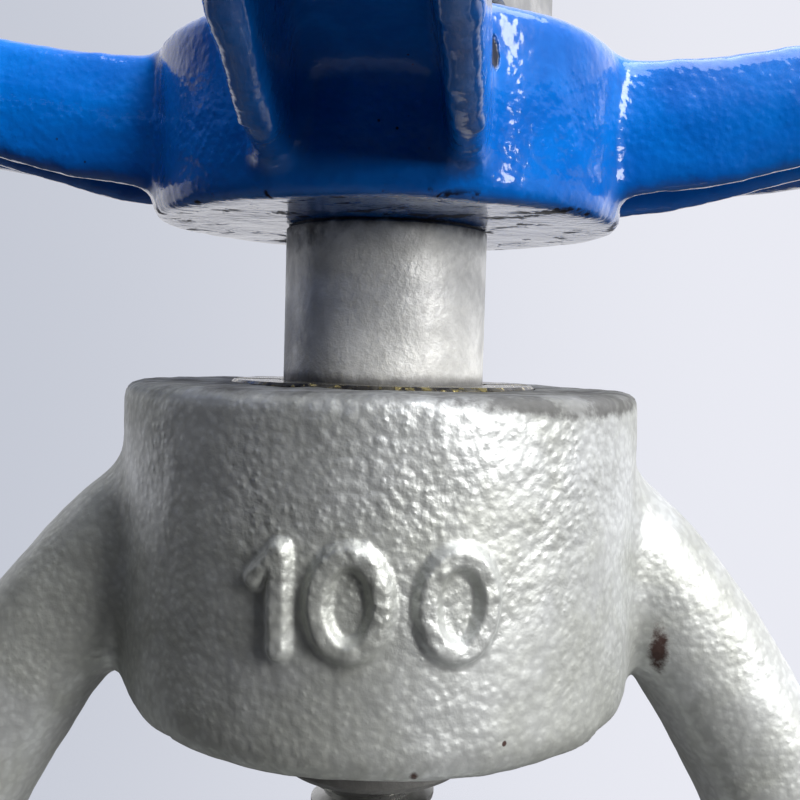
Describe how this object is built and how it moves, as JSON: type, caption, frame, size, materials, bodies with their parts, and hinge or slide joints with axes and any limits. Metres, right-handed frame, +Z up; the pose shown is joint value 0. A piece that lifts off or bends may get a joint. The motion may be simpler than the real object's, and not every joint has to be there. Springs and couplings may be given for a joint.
{
  "type": "knife gate valve",
  "caption": "Wafer knife gate valve with a cast two-arm yoke, a rising stem, a packed gland and a spoked handwheel that lifts a thin gate plate across the pipe bore.",
  "frame": {"origin": "on the stem's axis, midway between the two pipe faces, at the lowest point of the body", "axes": "+Z up along the stem, Y along the pipe, -Y towards the pipe face with the seat retaining ring, X across the yoke's arms"},
  "size_m": [0.24, 0.24, 0.5623],
  "materials": {
    "silver_paint": "aluminium paint over sand-cast iron",
    "blue_enamel": "glossy enamel over cast iron",
    "machined_steel": "dull turned steel",
    "stainless": "rolled stainless steel",
    "zinc_plate": "bright zinc plate",
    "bronze": "oiled bronze",
    "seat_rubber": "matte black rubber",
    "packing_braid": "graphited square braid"
  },
  "bodies": {
    "body": {"valve_body": "silver_paint", "seat_ring": "seat_rubber", "seat_retainer_ring": "stainless", "packing_ring_1": "packing_braid", "packing_ring_2": "packing_braid", "packing_ring_3": "packing_braid", "gland_follower": "silver_paint", "gland_stud_1": "zinc_plate", "gland_stud_2": "zinc_plate", "gland_stud_3": "zinc_plate", "gland_stud_4": "zinc_plate", "gland_nut_1": "zinc_plate", "gland_nut_2": "zinc_plate", "gland_nut_3": "zinc_plate", "gland_nut_4": "zinc_plate", "yoke": "silver_paint", "yoke_bolt_1": "zinc_plate", "yoke_bolt_2": "zinc_plate", "yoke_bolt_3": "zinc_plate", "yoke_bolt_4": "zinc_plate", "yoke_washer_1": "zinc_plate", "yoke_washer_2": "zinc_plate", "yoke_washer_3": "zinc_plate", "yoke_washer_4": "zinc_plate", "yoke_nut_1": "zinc_plate", "yoke_nut_2": "zinc_plate", "yoke_nut_3": "zinc_plate", "yoke_nut_4": "zinc_plate", "lower_thrust_washer": "bronze", "upper_thrust_washer": "bronze", "bearing_retaining_ring": "machined_steel"},
    "wheel": {"handwheel": "blue_enamel", "stem_nut": "machined_steel", "handwheel_key": "machined_steel", "handwheel_washer": "zinc_plate", "handwheel_locknut": "machined_steel"},
    "gate": {"gate_plate": "stainless", "stem": "stainless", "stem_clevis": "machined_steel", "clevis_pin": "machined_steel", "clevis_bolt_1": "zinc_plate", "clevis_bolt_2": "zinc_plate", "clevis_nut_1": "zinc_plate", "clevis_nut_2": "zinc_plate"}
  },
  "joints": [
    {"name": "handwheel_turn", "type": "hinge", "parent": "body", "child": "wheel", "pos_m": [0, 0, 0.5], "axis": [0, 0, 1], "range_deg": [0, 9900]},
    {"name": "gate_lift", "type": "slide", "parent": "body", "child": "gate", "axis": [0, 0, 1], "range_m": [0, 0.1101]}
  ],
  "couplings": [
    {"joint": "gate_lift", "follows": "handwheel_turn", "m_per_rad": 0.00063662}
  ]
}
